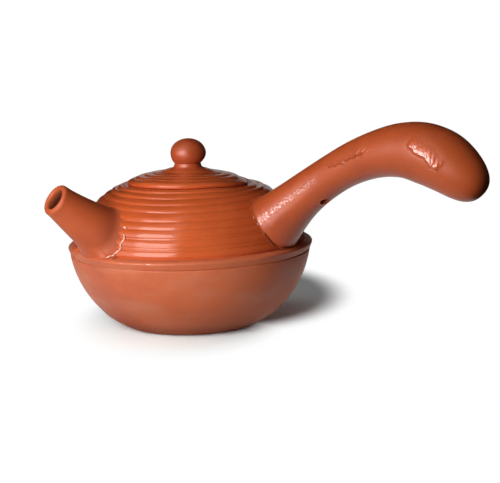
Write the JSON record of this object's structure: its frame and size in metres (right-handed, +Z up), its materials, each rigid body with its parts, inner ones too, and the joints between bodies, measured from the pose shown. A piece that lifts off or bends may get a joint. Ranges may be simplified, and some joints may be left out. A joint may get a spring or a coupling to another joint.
{
  "type": "side-handle teapot",
  "caption": "Unglazed red-clay teapot with a round bowl, ribbed shoulder, straight spout backed by a clay strainer, hollow curved side handle and a loose lid with a ball knob.",
  "frame": {"origin": "centre of the flat base, on the table", "axes": "+Z up along the pot's axis, +X along the handle seen from above"},
  "size_m": [0.2044, 0.1234, 0.0956],
  "materials": {
    "bowl_clay": "matt unglazed",
    "ribbed_clay": "satin unglazed",
    "smooth_clay": "satin burnished"
  },
  "bodies": {
    "pot": {"lower_bowl": "bowl_clay", "waist_band": "bowl_clay", "ribbed_shoulder": "ribbed_clay", "spout": "smooth_clay", "spout_strainer": "ribbed_clay", "handle": "smooth_clay"},
    "lid": {"lid_dome": "ribbed_clay", "lid_locating_ring": "ribbed_clay", "lid_knob": "smooth_clay"}
  },
  "joints": [
    {"name": "lid_lift", "type": "slide", "parent": "pot", "child": "lid", "axis": [0, 0, 1], "range_m": [0, 0.05]}
  ]
}
